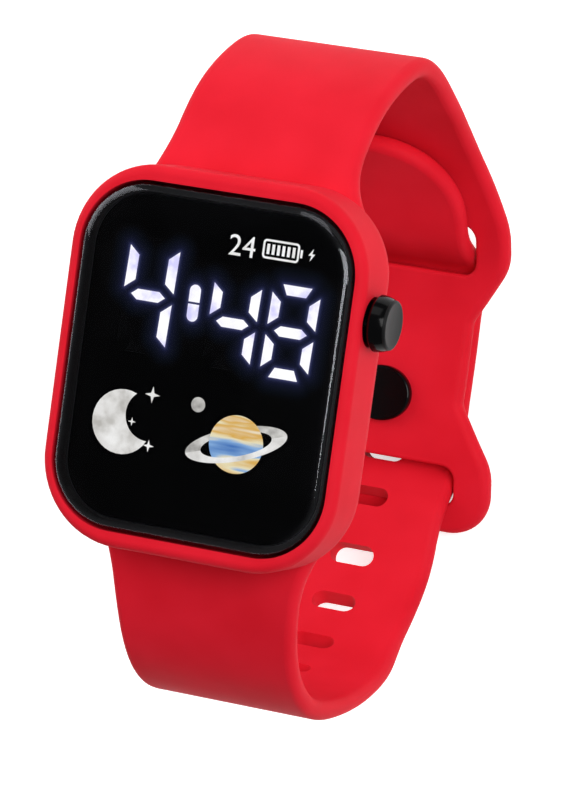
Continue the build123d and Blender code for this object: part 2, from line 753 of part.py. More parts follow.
def crystal():
    plane = Plane(
        (CRYSTAL_X, CRYSTAL_Y - CRYSTAL_LENGTH / 2, BOARD_BOTTOM - CRYSTAL_RADIUS),
        x_dir=(1, 0, 0), z_dir=(0, 1, 0),
    )
    return extrude(plane * Circle(CRYSTAL_RADIUS), CRYSTAL_LENGTH)


def chip_components():
    width, length, height = PASSIVE_SIZE
    parts = []
    for column in range(PASSIVE_COLUMNS):
        for row in range(PASSIVE_ROWS):
            place = Pos(PASSIVE_X + column * PASSIVE_PITCH, PASSIVE_Y + row * PASSIVE_PITCH)
            parts.append(under_board(place * Rectangle(width, length), height))
    return Compound(parts)


# Coin cell, holder and contacts

def battery():
    can = prism(Circle(CELL_RADIUS), CELL_BOTTOM, CELL_TOP - CELL_STEP_HEIGHT)
    can = fillet(can.edges().group_by(Axis.Z)[0], CELL_EDGE)
    can += prism(Circle(CELL_RADIUS - CELL_STEP), CELL_TOP - CELL_STEP_HEIGHT, CELL_TOP)
    return Pos(0, CELL_Y) * can


def battery_holder():
    inner = CELL_RADIUS + HOLDER_EASE
    ring = Circle(inner + HOLDER_WALL) - Circle(inner)
    ring -= Pos(-inner, 0) * Rectangle(inner, HOLDER_MOUTH)
    return Pos(0, CELL_Y) * under_board(ring, HOLDER_HEIGHT)


def battery_pad():
    return Pos(0, CELL_Y) * prism(Circle(PAD_RADIUS), BACK_LIP, CELL_BOTTOM)


def battery_negative_contact():
    """A spring leaf soldered to the board, whose tip presses on the cell's top."""
    start = CELL_Y - CONTACT_FOOT
    tip = start + CONTACT_FOOT + CONTACT_REACH
    leaf = Polyline(
        in_yz(start, BOARD_BOTTOM),
        in_yz(CELL_Y, BOARD_BOTTOM),
        in_yz(tip, CELL_TOP + CONTACT_THICKNESS),
        in_yz(tip, CELL_TOP),
        in_yz(CELL_Y, BOARD_BOTTOM - CONTACT_THICKNESS),
        in_yz(start, BOARD_BOTTOM - CONTACT_THICKNESS),
        close=True,
    )
    return extrude(Pos(-CONTACT_WIDTH / 2) * make_face(leaf), CONTACT_WIDTH, dir=(1, 0, 0))


def battery_positive_clip():
    """A bent strip from the board's underside down the side of the cell."""
    low = (-CELL_RADIUS - CLIP_THICKNESS, CELL_Y - CLIP_WIDTH / 2, CELL_BOTTOM + CLIP_SIDE_GAP)
    upright = corner_box(low, (-CELL_RADIUS, CELL_Y + CLIP_WIDTH / 2, BOARD_BOTTOM))
    foot = corner_box(
        (-CELL_RADIUS - CONTACT_FOOT, CELL_Y - CLIP_WIDTH / 2, BOARD_BOTTOM - CLIP_THICKNESS),
        (-CELL_RADIUS, CELL_Y + CLIP_WIDTH / 2, BOARD_BOTTOM),
    )
    return upright + foot


# Housing, cover, gasket and screws

def screw_places():
    return [Pos(x * BOSS_X, y * BOSS_Y) for x in (-1, 1) for y in (-1, 1)]


def module_housing():
    tub = rounded_plate(HOUSING_WIDTH, HOUSING_LENGTH, LENS_CORNER, BACK_LIP, HOUSING_TOP)
    tub = fillet(tub.edges().group_by(Axis.Z)[0], POCKET_EDGE - FIT_GAP)
    tub -= prism(board_plan(0), FLOOR_TOP, HOUSING_TOP + CUT)
    battery_opening = Pos(0, CELL_Y) * Circle(BATTERY_OPENING_RADIUS)
    tub -= prism(battery_opening, BACK_LIP - CUT, FLOOR_TOP + CUT)
    for place in screw_places():
        tub += place * prism(Circle(BOSS_RADIUS), FLOOR_TOP - HOUSING_FLOOR / 2, BOARD_BOTTOM)
    for place in screw_places():
        tub -= place * prism(Circle(PILOT_RADIUS), BACK_LIP - CUT, BOARD_BOTTOM - PILOT_ROOF)
    outside = HOUSING_WIDTH / 2
    tub -= along_x(STEM_RADIUS + STEM_EASE, outside - HOUSING_WALL - CUT, outside + CUT)
    seat = STEM_RADIUS + STEM_EASE + SEAL_SECTION
    return tub - along_x(seat, outside - SEAL_SEAT, outside + CUT)


def gasket_plan(ease):
    inner = BATTERY_OPENING_RADIUS + GASKET_MARGIN
    outer = Circle(inner + GASKET_WIDTH + ease)
    return Pos(0, CELL_Y) * (outer - Circle(inner - ease))


def back_cover():
    width = OPENING_WIDTH - 2 * COVER_EASE
    length = OPENING_LENGTH - 2 * COVER_EASE
    cover = rounded_plate(width, length, BACK_OPENING_CORNER - COVER_EASE, 0, BACK_LIP)
    cover = chamfer(cover.edges().group_by(Axis.Z)[0], COVER_EDGE)
    cover -= prism(gasket_plan(FIT_GAP / 2), BACK_LIP - GASKET_DEPTH, BACK_LIP + CUT)
    sink = SCREW_HEAD_SINK + SCREW_HEAD_HEIGHT
    for place in screw_places():
        cover -= place * prism(Circle(SCREW_HEAD_RADIUS + SCREW_EASE), -CUT, sink)
        cover -= place * prism(Circle(SCREW_RADIUS + SCREW_EASE), -CUT, BACK_LIP + CUT)
    return cover


def back_gasket():
    return prism(gasket_plan(0), BACK_LIP - GASKET_DEPTH, BACK_LIP)


def back_screws():
    seat = SCREW_HEAD_SINK + SCREW_HEAD_HEIGHT
    screw = prism(Circle(SCREW_HEAD_RADIUS), SCREW_HEAD_SINK, seat)
    screw += prism(Circle(SCREW_RADIUS), seat, BOARD_BOTTOM - PILOT_ROOF - SCREW_EASE)
    cross = Rectangle(SCREW_CROSS_LENGTH, SCREW_CROSS_WIDTH)
    cross += Rectangle(SCREW_CROSS_WIDTH, SCREW_CROSS_LENGTH)
    screw -= prism(cross, SCREW_HEAD_SINK - CUT, SCREW_HEAD_SINK + SCREW_CROSS_DEPTH)
    return Compound([place * screw for place in screw_places()])


# Side button, its clip and seal, and the switch that it presses

def side_button():
    face = CASE_WIDTH / 2 + BUTTON_PROUD
    widest = face - BUTTON_SKIRT
    wall = CASE_WIDTH / 2
    back = HOUSING_WIDTH / 2 + BUTTON_TRAVEL + BUTTON_BACK_GAP
    flank = (BUTTON_FACE_RADIUS + BUTTON_MAX_RADIUS) / 2 + BUTTON_DISH / 2
    round_middle = BUTTON_FACE_ROUND * ROUND_MIDDLE_SHARE
    outline = [
        ThreePointArc(
            (face - BUTTON_DISH, 0),
            (face - BUTTON_DISH * DISH_MIDDLE_SHARE, BUTTON_FACE_RADIUS / 2),
            (face, BUTTON_FACE_RADIUS - BUTTON_FACE_ROUND),
        ),
        ThreePointArc(
            (face, BUTTON_FACE_RADIUS - BUTTON_FACE_ROUND),
            (face - round_middle, BUTTON_FACE_RADIUS - round_middle),
            (face - BUTTON_FACE_ROUND, BUTTON_FACE_RADIUS),
        ),
        ThreePointArc(
            (face - BUTTON_FACE_ROUND, BUTTON_FACE_RADIUS),
            ((face - BUTTON_FACE_ROUND + widest) / 2, flank),
            (widest, BUTTON_MAX_RADIUS),
        ),
        Polyline(
            (widest, BUTTON_MAX_RADIUS),
            (wall, BUTTON_ROOT_RADIUS),
            (back, BUTTON_ROOT_RADIUS),
            (back, STEM_RADIUS),
            (CLIP_OUTER, STEM_RADIUS),
            (CLIP_OUTER, STEM_RADIUS - CLIP_GROOVE),
            (CLIP_OUTER - CLIP_RING_THICKNESS, STEM_RADIUS - CLIP_GROOVE),
            (CLIP_OUTER - CLIP_RING_THICKNESS, STEM_RADIUS),
            (STEM_END, STEM_RADIUS),
            (STEM_END, 0),
            (face - BUTTON_DISH, 0),
        ),
    ]
    turned = revolve(make_face(outline), axis=Axis.X)
    return Pos(0, BUTTON_Y, BUTTON_Z) * turned


def button_clip():
    """A split ring in the stem's groove, against the inside of the housing wall."""
    start = CLIP_OUTER - CLIP_RING_THICKNESS
    ring = along_x(CLIP_RING_RADIUS, start, CLIP_OUTER)
    ring -= along_x(STEM_RADIUS - CLIP_GROOVE, start - CUT, CLIP_OUTER + CUT)
    half = CLIP_SPLIT / 2
    return ring - corner_box(
        (start - CUT, BUTTON_Y - half, BUTTON_Z),
        (CLIP_OUTER + CUT, BUTTON_Y + half, BUTTON_Z + CLIP_RING_RADIUS + CUT),
    )


def button_seal():
    place = HOUSING_WIDTH / 2 - SEAL_SEAT / 2
    middle = STEM_RADIUS + STEM_EASE + SEAL_SECTION / 2
    plane = Plane((place, BUTTON_Y, BUTTON_Z), x_dir=(0, 1, 0), z_dir=(1, 0, 0))
    return plane * Torus(middle, SEAL_SECTION / 2)


def plunger_block(front, back, ease):
    """The switch plunger's section between two places along X, let out by an ease."""
    half = PLUNGER_WIDTH / 2 + ease
    rise = PLUNGER_HEIGHT / 2 + ease
    return corner_box(
        (back, BUTTON_Y - half, BUTTON_Z - rise),
        (front, BUTTON_Y + half, BUTTON_Z + rise),
    )


def switch_body():
    half = SWITCH_WIDTH / 2
    body = corner_box(
        (SWITCH_BACK, BUTTON_Y - half, BOARD_TOP),
        (SWITCH_FACE, BUTTON_Y + half, BOARD_TOP + SWITCH_HEIGHT),
    )
    hollow = SWITCH_FACE - PLUNGER_INSIDE - BUTTON_TRAVEL - FIT_GAP
    return body - plunger_block(SWITCH_FACE + CUT, hollow, PLUNGER_EASE)


def switch_plunger():
    return plunger_block(PLUNGER_TIP, SWITCH_FACE - PLUNGER_INSIDE, 0)


def main():
    os.makedirs("parts", exist_ok=True)
    stud_line = stud_strap_line()
    nodes = {
        "silicone_case_strap": silicone_case_strap(stud_line, hole_strap_line(stud_line)),
        "stud_base": stud_base(),
        "stud_head": stud_head(),
        "lens": lens(),
        "lens_tape": lens_tape(),
        "mask_film": mask_film(),
        "diffuser_sheet": diffuser_sheet(),
        "light_box": light_box(),
        "led_chips": led_chips(),
        "circuit_board": circuit_board(),
        "controller_chip": controller_chip(),
        "crystal": crystal(),
        "chip_components": chip_components(),
        "battery": battery(),
        "battery_holder": battery_holder(),
        "battery_pad": battery_pad(),
        "battery_negative_contact": battery_negative_contact(),
        "battery_positive_clip": battery_positive_clip(),
        "module_housing": module_housing(),
        "back_cover": back_cover(),
        "back_gasket": back_gasket(),
        "back_screws": back_screws(),
        "side_button": side_button(),
        "button_clip": button_clip(),
        "button_seal": button_seal(),
        "switch_body": switch_body(),
        "switch_plunger": switch_plunger(),
    }
    for name, shape in nodes.items():
        export_step(shape, f"parts/{name}.step")
        print(name, len(shape.solids()), round(shape.volume, 2), shape.is_valid)


if __name__ == "__main__":
    main()
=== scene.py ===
"""Looks for the square-faced LED watch: finishes, the lit dial, light, floor and camera.

Lengths are written in millimetres and turned to metres by mm(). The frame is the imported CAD:
+Z out of the dial, +Y towards 12 o'clock, +X towards the side button.
"""
import math

import bmesh
import bpy
from mathutils import Euler, Matrix, Vector

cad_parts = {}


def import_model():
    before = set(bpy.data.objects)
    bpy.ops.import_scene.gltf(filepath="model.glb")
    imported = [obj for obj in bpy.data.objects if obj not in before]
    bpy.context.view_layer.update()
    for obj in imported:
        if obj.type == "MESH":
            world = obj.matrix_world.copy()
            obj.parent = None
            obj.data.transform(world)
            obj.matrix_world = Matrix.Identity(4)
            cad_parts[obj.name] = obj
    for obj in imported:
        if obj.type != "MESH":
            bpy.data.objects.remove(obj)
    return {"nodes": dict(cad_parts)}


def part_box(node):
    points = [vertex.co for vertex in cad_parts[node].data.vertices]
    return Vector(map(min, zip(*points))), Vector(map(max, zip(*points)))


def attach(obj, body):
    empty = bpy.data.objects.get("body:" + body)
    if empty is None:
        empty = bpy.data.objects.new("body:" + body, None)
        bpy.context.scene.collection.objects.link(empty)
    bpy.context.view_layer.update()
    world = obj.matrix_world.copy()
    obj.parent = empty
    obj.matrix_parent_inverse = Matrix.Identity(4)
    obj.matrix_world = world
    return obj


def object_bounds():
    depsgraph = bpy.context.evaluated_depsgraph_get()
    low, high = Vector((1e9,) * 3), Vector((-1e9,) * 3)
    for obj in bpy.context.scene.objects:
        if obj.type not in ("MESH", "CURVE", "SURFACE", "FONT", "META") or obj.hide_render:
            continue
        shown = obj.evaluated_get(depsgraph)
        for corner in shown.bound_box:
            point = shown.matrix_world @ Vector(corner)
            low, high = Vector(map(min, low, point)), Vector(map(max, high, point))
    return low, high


# Camera, fitted to the photograph
CAMERA_PLACE = (193.98, 44.68, 474.30)
CAMERA_TURN_DEGREES = (-2.153, 22.117, 8.358)
CAMERA_LENS = 205.06
SENSOR_WIDTH = 36
CAMERA_SEES_METRES = 10

# Room
FLOOR_SIZE = 6000
FLOOR_GLOW = 0.6
WORLD_STRENGTH = 0.24
LAMPS = {
    "key_softbox": {"place": (520, 170, 630), "size": 480, "watts": 5.3},
    "upper_softbox": {"place": (0, 670, 500), "size": 480, "watts": 1.2},
    "side_softbox": {"place": (-640, 330, 260), "size": 680, "watts": 3.4},
}
LAMP_AIM = (0, 0, -20)

# Finishes
MOTTLE_SPAN = (0.35, 0.65)
GLASS_IOR = 1.5
GLASS_FLAT_GLARE = 0.12
# Upward share of the glass's normal, where its rim ends and where its flat begins
GLASS_FLAT_SPAN = (0.9, 0.995)
BUTTON_SIDE_ROUGHNESS = 0.14
BUTTON_FACE_ROUGHNESS = 0.45
# Shares of the button's reach that belong to its face, and to the change between the two
BUTTON_FACE_SHARE = 0.05
BUTTON_CHANGE_SHARE = 0.01

# Time display, in the plane of the printed film
LARGE_DIGIT = {"width": 6.15, "height": 13.1, "stroke": 1.22}
SMALL_DIGIT = {"width": 5.8, "height": 10.55, "stroke": 1.15}
DIGIT_LEAN_SHARE = 0.033
# Corners of the bars, as shares of the stroke
BAR_SLANT_SHARE = 1.5
POST_SHARES = (0.9, 0.52, 1.32, 1.73)
MIDDLE_SHARES = (0.8, 1.43)
HOURS_PLACE = (-8.18, 7.0)
TENS_PLACE = (2.48, 5.5)
UNITS_PLACE = (9.58, 5.5)
FOUR = ("upper_left", "upper_right", "middle", "lower_right")
EIGHT = ("top", "bottom", "middle", "upper_left", "upper_right", "lower_left", "lower_right")
COLON_PLACE = (-2.48, 7.03)
COLON_WIDTH = 1.35
COLON_LENGTH = 4.2
COLON_SPLIT = 0.25
WINDOW_EASE = 0.02
LIT_DEPTH = 0.14
GLOW_WIDTH = 2.2
GLOW_STEP = 0.2
# Colours of the painted glow round a window, by the share of the way to its edge
GLOW_STOPS = (
    (0.3, "#03060D"),
    (0.57, "#090D1B"),
    (0.78, "#10142A"),
    (0.87, "#1D213D"),
    (0.94, "#2E3155"),
)
SEGMENT_LEVEL = 1.08
PRINT_THICKNESS = 0.012

# Small symbols above the digits
DATE_TEXT = "24"
DATE_PLACE = (2.45, 13.1)
DATE_HEIGHT = 2.35
DATE_WELD_METRES = 1e-5
GAUGE_PLACE = (7.15, 14.4)
GAUGE_SIZE = (4.45, 2.2)
GAUGE_CORNER = 0.45
GAUGE_LINE = 0.24
GAUGE_TIP = (0.26, 0.9)
GAUGE_BARS = 6
GAUGE_BAR = (0.34, 1.15)
GAUGE_BAR_PITCH = 0.62
BOLT_PLACE = (10.87, 14.46)
BOLT_OUTLINE = ((0.16, 0.72), (-0.4, -0.08), (-0.04, -0.08), (-0.16, -0.72), (0.4, 0.12), (0.04, 0.12))

# Lit pictures below the digits
MOON_PLACE = (-9.3, -7.6)
MOON_RADIUS = 3.7
MOON_HORN_DEGREES = 48
MOON_BITE_X = 3.42
MOON_TURN_DEGREES = 20
STAR_PLACES = ((-6.0, -4.0, 0.95), (-5.7, -9.8, 0.7), (-8.1, -7.4, 0.5))
STAR_POINTS = 4
STAR_WAIST_SHARE = 0.3
PLANET_PLACE = (4.9, -7.9)
PLANET_RADIUS = 3.3
RING_OUTER = 6.3
RING_INNER = 4.4
RING_FLATTEN = 0.3
RING_TILT_DEGREES = 18
FAR_MOON = (-0.3, -4.2, 0.85)
PRINT_STEP = 0.012
DISC_STEPS = 64
RING_STEPS = 96


def mm(value):
    """Millimetres to metres, for a number or for each of several."""
    if isinstance(value, (int, float)):
        return value / 1000
    return tuple(v / 1000 for v in value)


def colour(text):
    """An sRGB hex value as the linear colour with alpha that a socket takes."""
    def linear(share):
        return share / 12.92 if share <= 0.04045 else ((share + 0.055) / 1.055) ** 2.4
    red, green, blue = (int(text[i:i + 2], 16) / 255 for i in (1, 3, 5))
    return (linear(red), linear(green), linear(blue), 1)


# Materials

def add(tree, kind, inputs=None, **settings):
    """Adds a shader node, sets it up and links or fills its inputs."""
    node = tree.nodes.new("ShaderNode" + kind)
    for name, value in settings.items():
        setattr(node, name, value)
    for name, value in (inputs or {}).items():
        if isinstance(value, bpy.types.NodeSocket):
            tree.links.new(value, node.inputs[name])
        else:
            node.inputs[name].default_value = value
    return node


def new_finish(name, base, roughness, **sockets):
    """A material with one Principled shader, whose plain values sit on its own sockets."""
    material = bpy.data.materials.new(name)
    material.use_nodes = True
    tree = material.node_tree
    shader = tree.nodes["Principled BSDF"]
    shader.inputs["Base Color"].default_value = colour(base)
    shader.inputs["Roughness"].default_value = roughness
    for socket, value in sockets.items():
        shader.inputs[socket.replace("_", " ")].default_value = value
    return material, tree, shader


def texture_for(tree, size, stretch=(1, 1, 1)):
    """Object coordinates in units of one pattern size, given in millimetres."""
    place = add(tree, "TexCoord")
    scale = Vector(stretch) / mm(size)
    return add(tree, "Mapping", {"Vector": place.outputs["Object"], "Scale": scale}).outputs["Vector"]


def grain(tree, shader, size, height, stretch=(1, 1, 1)):
    """A fine uneven surface of that grain size and height, in millimetres."""
    vector = texture_for(tree, size, stretch)
    noise = add(tree, "TexNoise", {"Vector": vector, "Scale": 1, "Detail": 3})
    bump = add(tree, "Bump", {"Height": noise.outputs["Fac"], "Distance": mm(height), "Strength": 1})
    tree.links.new(bump.outputs["Normal"], shader.inputs["Normal"])


def mottle(tree, shader, size, low, high, stretch=(1, 1, 1)):
    """Two near colours that drift into each other over that size, in millimetres."""
    vector = texture_for(tree, size, stretch)
    noise = add(tree, "TexNoise", {"Vector": vector, "Scale": 1, "Detail": 2})
    ramp = add(tree, "ValToRGB", {"Fac": noise.outputs["Fac"]})
    for element, position, text in zip(ramp.color_ramp.elements, MOTTLE_SPAN, (low, high)):
        element.position = position
        element.color = colour(text)
    tree.links.new(ramp.outputs["Color"], shader.inputs["Base Color"])


def uneven_gloss(tree, shader, size, low, high):
    """Roughness that wanders between two values, as handling leaves it."""
    vector = texture_for(tree, size)
    noise = add(tree, "TexNoise", {"Vector": vector, "Scale": 1, "Detail": 4})
    span = add(tree, "MapRange", {"Value": noise.outputs["Fac"], "To Min": low, "To Max": high})
    tree.links.new(span.outputs["Result"], shader.inputs["Roughness"])


def moulded_silicone():
    """Liquid silicone from a blasted mould: an even, soft, slightly powdery red."""
    material, tree, shader = new_finish(
        "moulded_silicone", "#DD1B2C", 0.6,
        Subsurface_Weight=0.1, Subsurface_Scale=mm(0.8), Subsurface_Radius=(1.0, 0.2, 0.15),
        Specular_IOR_Level=0.08, IOR=1.42,
    )
    mottle(tree, shader, 9, "#D9192A", "#E11E30")
    uneven_gloss(tree, shader, 5, 0.54, 0.64)
    grain(tree, shader, 0.35, 0.012)
    return material


def clear_glass():
    """Polished cover glass: its coating keeps the flat nearly free of glare, and the rim shines."""
    material = bpy.data.materials.new("clear_glass")
    material.use_nodes = True
    tree = material.node_tree
    tree.nodes.remove(tree.nodes["Principled BSDF"])
    mirror = add(tree, "BsdfGlossy", {"Color": colour("#F4F6FF"), "Roughness": 0.04})
    through = add(tree, "BsdfTransparent", {"Color": colour("#FAFBFD")})
    place = add(tree, "TexCoord")
    up = add(tree, "SeparateXYZ", {"Vector": place.outputs["Normal"]})
    rim_ends, flat_begins = GLASS_FLAT_SPAN
    coating = add(tree, "MapRange", {
        "Value": up.outputs["Z"], "From Min": rim_ends, "From Max": flat_begins,
        "To Min": 1, "To Max": GLASS_FLAT_GLARE,
    })
    edge = add(tree, "Fresnel", {"IOR": GLASS_IOR})
    glare = add(tree, "Math", {0: edge.outputs["Fac"], 1: coating.outputs["Result"]},
                operation="MULTIPLY")
    both = add(tree, "MixShader", {"Fac": glare.outputs["Value"]})
    tree.links.new(through.outputs["BSDF"], both.inputs[1])
    tree.links.new(mirror.outputs["BSDF"], both.inputs[2])
    tree.links.new(both.outputs["Shader"], tree.nodes["Material Output"].inputs["Surface"])
    return material


def screen_printed_film():
    """Polyester film with opaque black ink: dead flat, with a trace of blue."""
    material, tree, shader = new_finish("screen_printed_film", "#020203", 0.55, Specular_IOR_Level=0.05)
    grain(tree, shader, 0.2, 0.003)
    return material


def smoked_diffuser():
    """Smoked acrylic sheet: nearly black where no lamp is lit behind it."""
    material, tree, shader = new_finish("smoked_diffuser", "#020203", 0.5, Specular_IOR_Level=0.05)
    grain(tree, shader, 0.4, 0.004)
    return material


def tape():
    """Double-sided foam tape, black, with the open skin of cut foam."""
    material, tree, shader = new_finish("acrylic_foam_tape", "#0A0A0B", 0.8)
    grain(tree, shader, 0.15, 0.02)
    return material


def white_moulding():
    """White polycarbonate of the light box: matt inside so that the cells scatter light."""
    material, tree, shader = new_finish("white_polycarbonate", "#E9E8E2", 0.5)
    mottle(tree, shader, 6, "#E4E3DC", "#EFEEE9")
    grain(tree, shader, 0.3, 0.006)
    return material


def lamp_resin():
    """Yellow phosphor resin in a white cup, as a white LED has."""
    material, tree, shader = new_finish("phosphor_resin", "#E9D77E", 0.3, Coat_Weight=0.4)
    mottle(tree, shader, 0.5, "#E6CF66", "#F4EBC0")
    return material


def board_mask():
    """Green solder mask over glass cloth and copper: a faint weave under a gloss."""
    material, tree, shader = new_finish("solder_mask", "#0E4A2B", 0.28, Coat_Weight=0.3)
    vector = texture_for(tree, 0.6)
    weave = add(tree, "TexChecker", {"Vector": vector, "Scale": 1})
    weave.inputs["Color1"].default_value = colour("#0D4728")
    weave.inputs["Color2"].default_value = colour("#11522F")
    tree.links.new(weave.outputs["Color"], shader.inputs["Base Color"])
    return material


def epoxy_package():
    """Black transfer-moulded epoxy of a chip, matt from its filler."""
    material, tree, shader = new_finish("moulded_epoxy", "#17171A", 0.6)
    grain(tree, shader, 0.12, 0.006)
    return material


def ceramic_chips():
    """Fired ceramic bodies of the smallest components, brown and slightly speckled."""
    material, tree, shader = new_finish("fired_ceramic", "#8A6A48", 0.5)
    mottle(tree, shader, 0.2, "#7C5E3E", "#9B7A56")
    return material


def rolled_steel(name, base, roughness, along):
    """Bright rolled steel with fine drawn lines along one direction."""
    material, tree, shader = new_finish(name, base, roughness, Metallic=1.0)
    grain(tree, shader, 0.08, 0.003, along)
    return material


def cell_case():
    """Nickel-plated steel can of a coin cell: bright, with fine turned rings."""
    material, tree, shader = new_finish("nickel_plated_can", "#C9C8C4", 0.24, Metallic=1.0)
    grain(tree, shader, 0.3, 0.003)
    return material


def black_plastic(name, base, roughness, grain_size, grain_height, shine=0.5):
    """A moulded plastic, glossy to matt from the texture of its mould."""
    material, tree, shader = new_finish(name, base, roughness, Specular_IOR_Level=shine)
    grain(tree, shader, grain_size, grain_height)
    return material


def seal_rubber():
    """Nitrile rubber rings, black, with a dull skin and a dusting of talc."""
    material, tree, shader = new_finish("nitrile_rubber", "#101011", 0.7)
    mottle(tree, shader, 0.8, "#0D0D0E", "#19191A")
    return material


def pad_foam():
    """Closed-cell foam, dark grey, with cells that show at its cut face."""
    material, tree, shader = new_finish("closed_cell_foam", "#2B2B2D", 0.9)
    vector = texture_for(tree, 0.4)
    cells = add(tree, "TexVoronoi", {"Vector": vector, "Scale": 1})
    bump = add(tree, "Bump", {"Height": cells.outputs["Distance"], "Distance": mm(0.05), "Strength": 1})
    tree.links.new(bump.outputs["Normal"], shader.inputs["Normal"])
    return material


def two_part_button():
    """Black gloss button whose end face is satin dark grey, fine-turned to a slight dish."""
    material, tree, shader = new_finish(
        "gloss_black_button", "#040405", BUTTON_SIDE_ROUGHNESS, Specular_IOR_Level=0.1,
    )
    place = add(tree, "TexCoord")
    along = add(tree, "SeparateXYZ", {"Vector": place.outputs["Object"]})
    low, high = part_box("side_button")
    reach = high[0] - low[0]
    start = high[0] - BUTTON_FACE_SHARE * reach
    on_face = add(tree, "MapRange", {
        "Value": along.outputs["X"], "From Min": start - BUTTON_CHANGE_SHARE * reach, "From Max": start,
    })
    skin = add(tree, "Mix", {"Factor": on_face.outputs["Result"]}, data_type="RGBA")
    skin.inputs["A"].default_value = colour("#040405")
    skin.inputs["B"].default_value = colour("#141415")
    tree.links.new(skin.outputs["Result"], shader.inputs["Base Color"])
    gloss = add(tree, "MapRange", {
        "Value": on_face.outputs["Result"],
        "To Min": BUTTON_SIDE_ROUGHNESS, "To Max": BUTTON_FACE_ROUGHNESS,
    })
    tree.links.new(gloss.outputs["Result"], shader.inputs["Roughness"])
    return material


def film_glow():
    """Painted halo round a lit segment, emission on the black film that stands in for the light bleeding
    round it: violet at its edge, then deep blue.
    """
    material, tree, shader = new_finish("bleeding_light", "#020203", 0.55, Specular_IOR_Level=0.05)
    fade = add(tree, "Attribute", attribute_name="glow")
    ramp = add(tree, "ValToRGB", {"Fac": fade.outputs["Fac"]})
    ramp.color_ramp.elements[0].color = colour("#000000")
    ramp.color_ramp.elements[1].color = colour("#4A4A74")
    for position, text in GLOW_STOPS:
        ramp.color_ramp.elements.new(position).color = colour(text)
    tree.links.new(ramp.outputs["Color"], shader.inputs["Emission Color"])
    shader.inputs["Emission Strength"].default_value = 1.0
    return material


def lit_print(name, stops, size, stretch=(1, 1, 1), level=1.0):
    """A translucent print lit from behind, in colours that drift over a size in millimetres."""
    material, tree, shader = new_finish(name, "#000000", 0.6)
    vector = texture_for(tree, size, stretch)
    noise = add(tree, "TexNoise", {"Vector": vector, "Scale": 1, "Detail": 3})
    ramp = add(tree, "ValToRGB", {"Fac": noise.outputs["Fac"]})
    for element, (position, text) in zip(ramp.color_ramp.elements, (stops[0], stops[-1])):
        element.position = position
        element.color = colour(text)
    for position, text in stops[1:-1]:
        ramp.color_ramp.elements.new(position).color = colour(text)
    tree.links.new(ramp.outputs["Color"], shader.inputs["Emission Color"])
    shader.inputs["Emission Strength"].default_value = level
    return material


def floor_paint():
    """Pale paper sweep, lit to white, that keeps the watch's soft shadow."""
    material, tree, shader = new_finish("pale_paper", "#F7F7F7", 0.9)
    path = add(tree, "LightPath")
    seen = add(tree, "Math", {0: path.outputs["Is Camera Ray"], 1: path.outputs["Is Glossy Ray"]},
               operation="MAXIMUM")
    seen = add(tree, "Math", {0: seen.outputs["Value"], 1: path.outputs["Is Transmission Ray"]},
               operation="MAXIMUM")
    seen = add(tree, "Math", {0: seen.outputs["Value"], 1: FLOOR_GLOW}, operation="MULTIPLY")
    shader.inputs["Emission Color"].default_value = colour("#FFFFFF")
    tree.links.new(seen.outputs["Value"], shader.inputs["Emission Strength"])
    return material


def dress_nodes(nodes):
    """Gives every CAD node its finish."""
    black_abs = black_plastic("moulded_abs", "#141416", 0.5, 0.25, 0.008)
    spring = rolled_steel("spring_steel_strip", "#B9B8B4", 0.28, (1, 6, 6))
    rubber = seal_rubber()
    finishes = {
        "silicone_case_strap": moulded_silicone(),
        "stud_base": black_plastic("gloss_black_acetal", "#060607", 0.16, 0.3, 0.001, 0.15),
        "lens": clear_glass(),
        "lens_tape": tape(),
        "mask_film": screen_printed_film(),
        "diffuser_sheet": smoked_diffuser(),
        "light_box": white_moulding(),
        "led_chips": lamp_resin(),
        "circuit_board": board_mask(),
        "controller_chip": epoxy_package(),
        "crystal": rolled_steel("drawn_steel_can", "#C4C3BF", 0.22, (6, 1, 6)),
        "chip_components": ceramic_chips(),
        "battery": cell_case(),
        "battery_holder": black_abs,
        "battery_pad": pad_foam(),
        "battery_negative_contact": spring,
        "battery_positive_clip": spring,
        "module_housing": black_abs,
        "back_cover": black_plastic("blasted_black_abs", "#161618", 0.55, 0.3, 0.012),
        "back_gasket": rubber,
        "back_screws": rolled_steel("plated_screw_steel", "#A5A4A0", 0.3, (4, 4, 1)),
        "side_button": two_part_button(),
        "button_clip": spring,
        "button_seal": rubber,
        "switch_body": black_plastic("glass_filled_nylon", "#1A1A1C", 0.6, 0.2, 0.01),
        "switch_plunger": black_plastic("red_acetal", "#8E1F22", 0.4, 0.3, 0.003),
    }
    finishes["stud_head"] = finishes["stud_base"]
    for name, node in nodes.items():
        node.data.materials.clear()
        node.data.materials.append(finishes[name])


# Flat prints and lit windows

def face_of(bm, points):
    """One flat face from a few outline points in the XY plane, in millimetres."""
    return bm.faces.new([bm.verts.new((*mm(point), 0)) for point in points])


def thicken(bm, faces, depth):
    """Turns flat faces upwards, gives them one depth and closes them."""
    for face in faces:
        face.normal_update()
        if face.normal.z < 0:
            face.normal_flip()
    bmesh.ops.solidify(bm, geom=faces, thickness=mm(depth))
    bmesh.ops.recalc_face_normals(bm, faces=bm.faces)


def finish_piece(name, bm, place, top, material):
    """Turns a bmesh into a piece that lies with its top at a height and rides on the watch."""
    highest = max(v.co.z for v in bm.verts)
    bmesh.ops.translate(bm, verts=bm.verts, vec=Vector((*mm(place), top - highest)))
    mesh = bpy.data.meshes.new(name)
    bm.to_mesh(mesh)
    bm.free()
    mesh.materials.append(material)
    piece = bpy.data.objects.new(name, mesh)
    bpy.context.scene.collection.objects.link(piece)
    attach(piece, "watch")
    return piece


